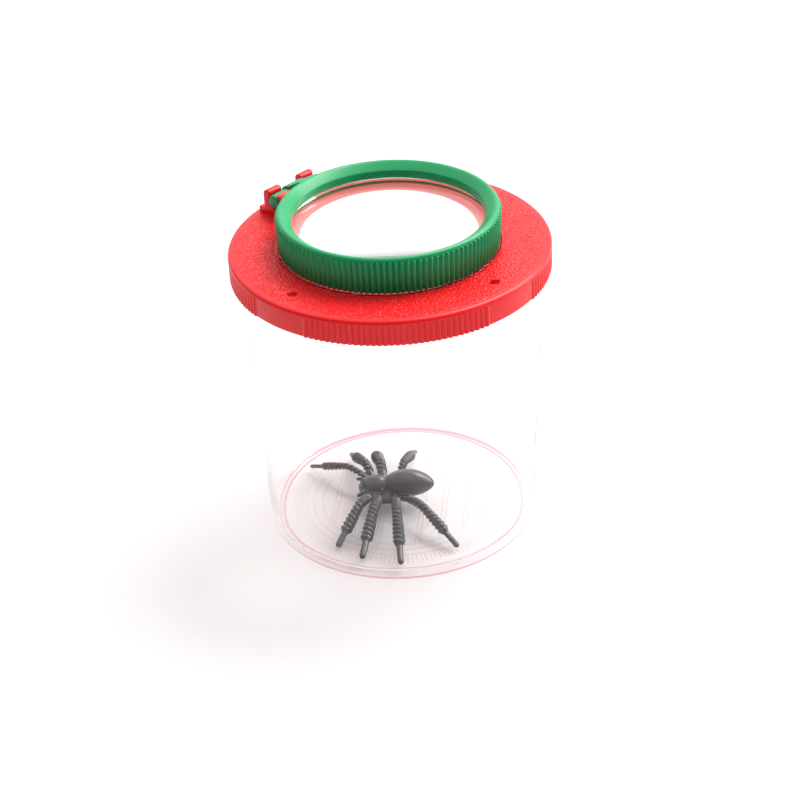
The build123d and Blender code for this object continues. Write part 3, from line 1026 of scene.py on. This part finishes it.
def growTube(bm, path, thickness, ridge=None):
    # a ring of edges pushed along the path, thick and thin as the functions say
    sides = spider["legSides"]
    ringVerts = bmesh.ops.create_circle(bm, cap_ends=False, segments=sides, radius=mm)["verts"]
    loop = list({e for v in ringVerts for e in v.link_edges})
    travelled = 0
    total = sum((b - a).length for a, b in zip(path, path[1:]))
    old = Matrix.Identity(4)
    firstLoop = loop
    for number, point in enumerate(path):
        before = path[max(number - 1, 0)]
        after = path[min(number + 1, len(path) - 1)]
        if number:
            travelled += (point - before).length
            pushed = bmesh.ops.extrude_edge_only(bm, edges=loop)["geom"]
            ringVerts = vertsOf(pushed)
            loop = [g for g in pushed if isinstance(g, bmesh.types.BMEdge)
                    and all(v in ringVerts for v in g.verts)]
        turned = (after - before).to_track_quat("Z", "Y").to_matrix().to_4x4()
        new = Matrix.Translation(point) @ turned
        back = old.inverted()
        share = travelled / total
        for v in ringVerts:
            spot = back @ v.co
            angle = math.atan2(spot.y, spot.x)
            radius = thickness(share) + (ridge(travelled / mm, share, angle) if ridge else 0)
            v.co = new @ Vector((radius * mm * math.cos(angle), radius * mm * math.sin(angle), 0))
        old = new
    bmesh.ops.holes_fill(bm, edges=firstLoop + loop)


def legRidge(travelled, share, angle):
    beforeToe = 1 - smoothStep(spider["toeStart"] - 0.04, spider["toeStart"], share)
    ridged = smoothStep(0.1, 0.16, share) * beforeToe
    turn = travelled / spider["twistPitch"] * fullTurn + spider["twistStarts"] * angle
    return spider["twistDepth"] * ridged * math.sin(turn)


def roundBody(bm, size, place, tail):
    # an egg: a ball whose back end is drawn out to a point
    ball = bmesh.ops.create_uvsphere(bm, u_segments=32, v_segments=20, radius=1)["verts"]
    for v in ball:
        v.co = Vector((v.co.z, v.co.x, v.co.y))
        pinch = 1 - tail * max(-v.co.x, 0) ** 2
        v.co = place @ Vector((v.co.x * size[0] / 2 * mm, v.co.y * pinch * size[1] / 2 * mm,
                               v.co.z * pinch * size[2] / 2 * mm))


def spiderMoulding():
    bm = bmesh.new()
    floor = levels["jarFloor"]
    middle = Vector((*spider["middle"], floor + spider["bodyHeight"])) * mm
    frameOfBody = Matrix.Translation(middle) @ Matrix.Rotation(math.radians(spider["heading"]), 4, "Z")

    def onBody(x, y, z):
        return frameOfBody @ Matrix.Translation(Vector((x, y, z)) * mm)

    length, headLength = spider["abdomen"][0], spider["head"][0]
    roundBody(bm, spider["abdomen"], onBody(-length / 2, 0, 0), spider["tailPinch"])
    headMiddle = headLength / 2 - spider["bodyOverlap"]
    roundBody(bm, spider["head"], onBody(headMiddle, 0, -spider["headDrop"]), 0.0)
    roundBody(bm, spider["shield"], onBody(headMiddle, 0, -spider["shieldDrop"]), 0.0)
    roundBody(bm, spider["sternum"], onBody(*spider["sternumPlace"]), 0.0)
    roundBody(bm, spider["bump"], onBody(*spider["bumpPlace"]), 0.0)
    for points in spider["palps"]:
        palp = smoothPath([frameOfBody @ (Vector(p) * mm) for p in points], spider["palpSteps"])
        growTube(bm, palp, lambda share: spider["palpRadius"] - spider["palpTaper"] * share)
    heading = math.radians(spider["heading"])
    along = Vector((math.cos(heading), math.sin(heading), 0))
    aside = Vector((-along.y, along.x, 0))
    for number, (place, degrees, share, thickness) in enumerate(spider["legs"]):
        side = 1 if number < 4 else -1
        hip = Vector((*spider["middle"], 0)) + along * place + aside * side * spider["hipSpread"]
        foot = Vector((*polar(spider["footReach"] * share, degrees), 0))
        bends = []
        for part, height in spider["legBends"]:
            spot = hip.lerp(foot, part)
            bends.append(Vector((spot.x, spot.y, floor + height)) * mm)
        growTube(bm, smoothPath(bends, spider["legSteps"]),
                 lambda part, thick=thickness: thick * legThickness(part), legRidge)
    bmesh.ops.recalc_face_normals(bm, faces=bm.faces[:])
    piece = meshObject("spider_moulding", bm)
    settle(piece, ("REMESH", {"mode": "VOXEL", "voxel_size": spider["voxel"] * mm}),
           ("SMOOTH", {"factor": 0.5, "iterations": 1}))
    return piece


spiderPiece = spiderMoulding()
finishPiece(spiderPiece, "spider", rubberFinish, "toy_spider", 180)


# studio: pale table, soft sky, a light high behind on the right, a lower one beside it on the right,
# camera as in the photograph
studio = {
    "tableSize": 8.0,
    "tableColour": (0.72, 0.72, 0.72, 1),
    "tableLevel": 0.02,     # a hair above the jar's underside, so the two never coincide
    "skyLow": 0.08,
    "skyHigh": 1.45,
    "skyFrom": (0.46, 0.24, 0.86),
    "keyPlace": (0.65, 0.0, 1.0),
    "keyWatts": 11.5,
    "keySize": 0.7,
    "sidePlace": (0.85, -0.5, 0.5),
    "sideWatts": 6.0,
    "sideSize": 0.6,
    "lightAim": (0, 0, 0.03),
    "cameraPlace": (-0.2854, -0.2756, 0.2744),
    "cameraAim": (0.00033, -0.00034, 0.02781),
    "cameraRoll": -3.0,
    "lens": 93.0,
    "sensor": 36.0,
}


def makeTable():
    bm = bmesh.new()
    bmesh.ops.create_grid(bm, x_segments=1, y_segments=1, size=studio["tableSize"] / 2)
    bmesh.ops.translate(bm, verts=bm.verts[:], vec=(0, 0, studio["tableLevel"] * mm))
    table = meshObject("table", bm)
    finish = newMaterial("paleTable", {
        "Base Color": studio["tableColour"], "Roughness": 0.9, "Specular IOR Level": 0.1})[0]
    table.data.materials.append(finish)


def makeSky():
    world = bpy.data.worlds.new("studio")
    scene.world = world
    world.use_nodes = True
    tree = world.node_tree
    link = tree.links.new
    background = tree.nodes["Background"]
    place = addNode(tree, "ShaderNodeTexCoord")
    towards = addNode(tree, "ShaderNodeVectorMath", operation="DOT_PRODUCT")
    towards.inputs[1].default_value = Vector(studio["skyFrom"]).normalized()
    glow = addNode(tree, "ShaderNodeMapRange", {
        "From Min": 0.0, "From Max": 0.9, "To Min": studio["skyLow"], "To Max": studio["skyHigh"]},
        interpolation_type="SMOOTHSTEP")
    link(place.outputs["Generated"], towards.inputs[0])
    link(towards.outputs["Value"], glow.inputs["Value"])
    link(glow.outputs[0], background.inputs["Strength"])
    background.inputs["Color"].default_value = (1, 1, 1, 1)


def makeLight(name, place, watts, size):
    light = bpy.data.lights.new(name, "AREA")
    light.energy = watts
    light.shape = "DISK"
    light.size = size
    made = bpy.data.objects.new(name, light)
    made.location = place
    made.rotation_euler = (Vector(studio["lightAim"]) - made.location).to_track_quat("-Z", "Y").to_euler()
    scene.collection.objects.link(made)


def makeCamera():
    data = bpy.data.cameras.new("camera")
    data.lens = studio["lens"]
    data.sensor_width = studio["sensor"]
    data.sensor_fit = "HORIZONTAL"
    data.clip_start = 0.01
    camera = bpy.data.objects.new("camera", data)
    place = Vector(studio["cameraPlace"])
    aim = (Vector(studio["cameraAim"]) - place).normalized()
    turn = aim.to_track_quat("-Z", "Y").to_matrix()
    roll = Matrix.Rotation(math.radians(studio["cameraRoll"]), 3, "Z")
    camera.matrix_world = Matrix.Translation(place) @ (turn @ roll).to_4x4()
    scene.collection.objects.link(camera)
    scene.camera = camera


makeTable()
makeSky()
makeLight("softbox", studio["keyPlace"], studio["keyWatts"], studio["keySize"])
makeLight("sidebox", studio["sidePlace"], studio["sideWatts"], studio["sideSize"])
makeCamera()
scene.view_settings.view_transform = "Standard"
print("studio ready")
